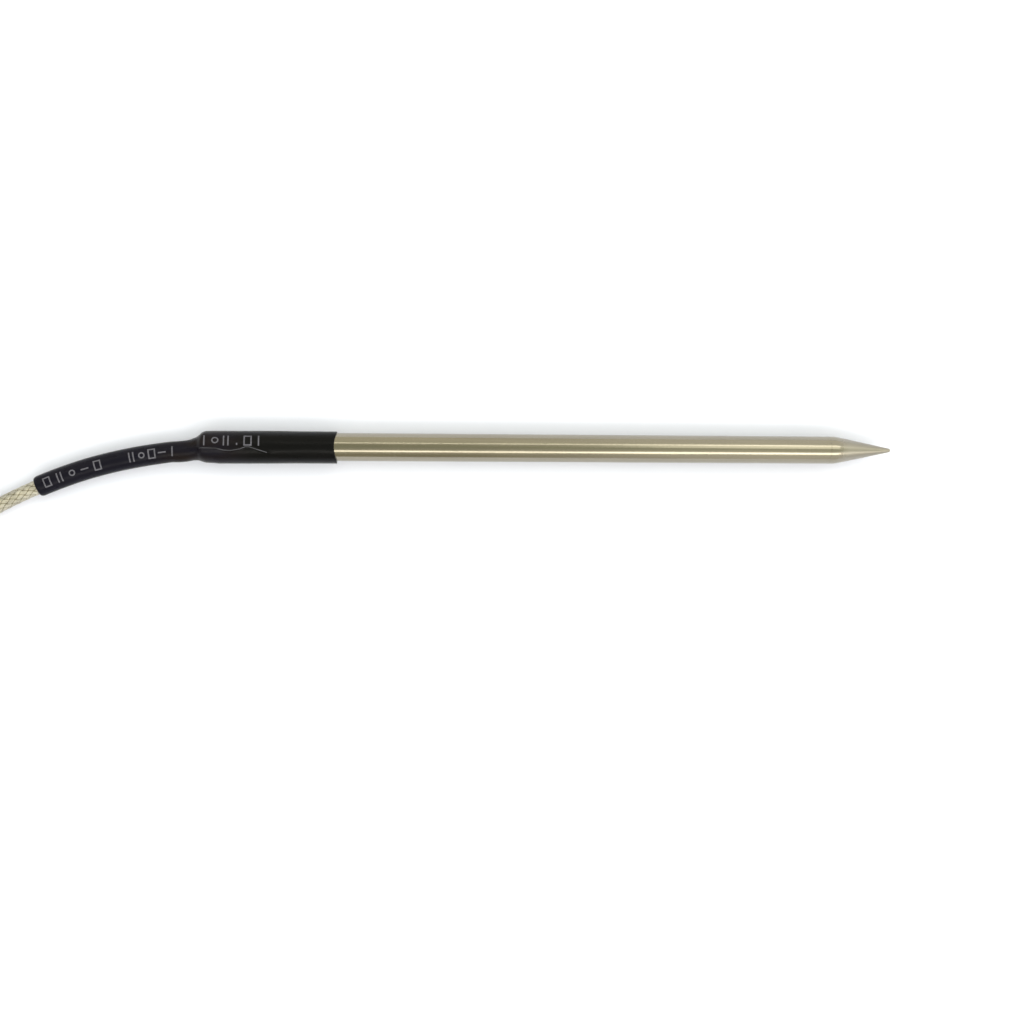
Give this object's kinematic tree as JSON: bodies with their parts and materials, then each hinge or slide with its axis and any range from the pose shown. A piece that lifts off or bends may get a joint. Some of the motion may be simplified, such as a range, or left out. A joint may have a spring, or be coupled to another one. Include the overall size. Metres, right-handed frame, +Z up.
{
  "type": "needle thermocouple probe",
  "caption": "Straight stainless needle sheath with a ground point, a black heat-shrink sleeve and a flexible metal-braided lead ending in fork terminals.",
  "frame": {"origin": "on the sheath's axis where the bare stem begins, at the front face of the black sleeve", "axes": "+X along the stem towards its point, +Z up from the surface that the probe lies on, the lead bends towards -Y"},
  "size_m": [0.2238, 0.0202, 0.0101],
  "materials": {
    "stainless_steel": "satin",
    "black_heat_shrink": "satin",
    "metal_braid": "satin",
    "glass_yarn": "matte",
    "thermocouple_wire": "satin",
    "alumina_ceramic": "matte",
    "junction_cement": "matte",
    "epoxy": "gloss",
    "nylon": "satin",
    "red_glass_yarn": "matte",
    "blue_glass_yarn": "matte",
    "tinned_copper": "satin",
    "red_vinyl": "satin",
    "blue_vinyl": "satin"
  },
  "bodies": {
    "root": {"sheath_tube": "stainless_steel", "needle_tip": "stainless_steel", "transition_sleeve": "black_heat_shrink", "braid_entry": "metal_braid", "jacket_entry": "glass_yarn", "mouth_seal": "epoxy", "hot_junction": "thermocouple_wire", "junction_cement": "junction_cement", "lead_free_run": "metal_braid", "lead_hank": "metal_braid", "hank_tie": "nylon", "breakout_sleeve": "black_heat_shrink", "ceramic_insulator_1": "alumina_ceramic", "ceramic_insulator_2": "alumina_ceramic", "ceramic_insulator_3": "alumina_ceramic", "positive_element": "thermocouple_wire", "positive_conductor": "thermocouple_wire", "positive_core_insulation": "glass_yarn", "positive_splice": "tinned_copper", "positive_splice_sleeve": "glass_yarn", "positive_tail": "red_glass_yarn", "positive_tail_end": "thermocouple_wire", "positive_terminal": "tinned_copper", "positive_terminal_sleeve": "red_vinyl", "negative_element": "thermocouple_wire", "negative_conductor": "thermocouple_wire", "negative_core_insulation": "glass_yarn", "negative_splice": "tinned_copper", "negative_splice_sleeve": "glass_yarn", "negative_tail": "blue_glass_yarn", "negative_tail_end": "thermocouple_wire", "negative_terminal": "tinned_copper", "negative_terminal_sleeve": "blue_vinyl"}
  },
  "joints": []
}
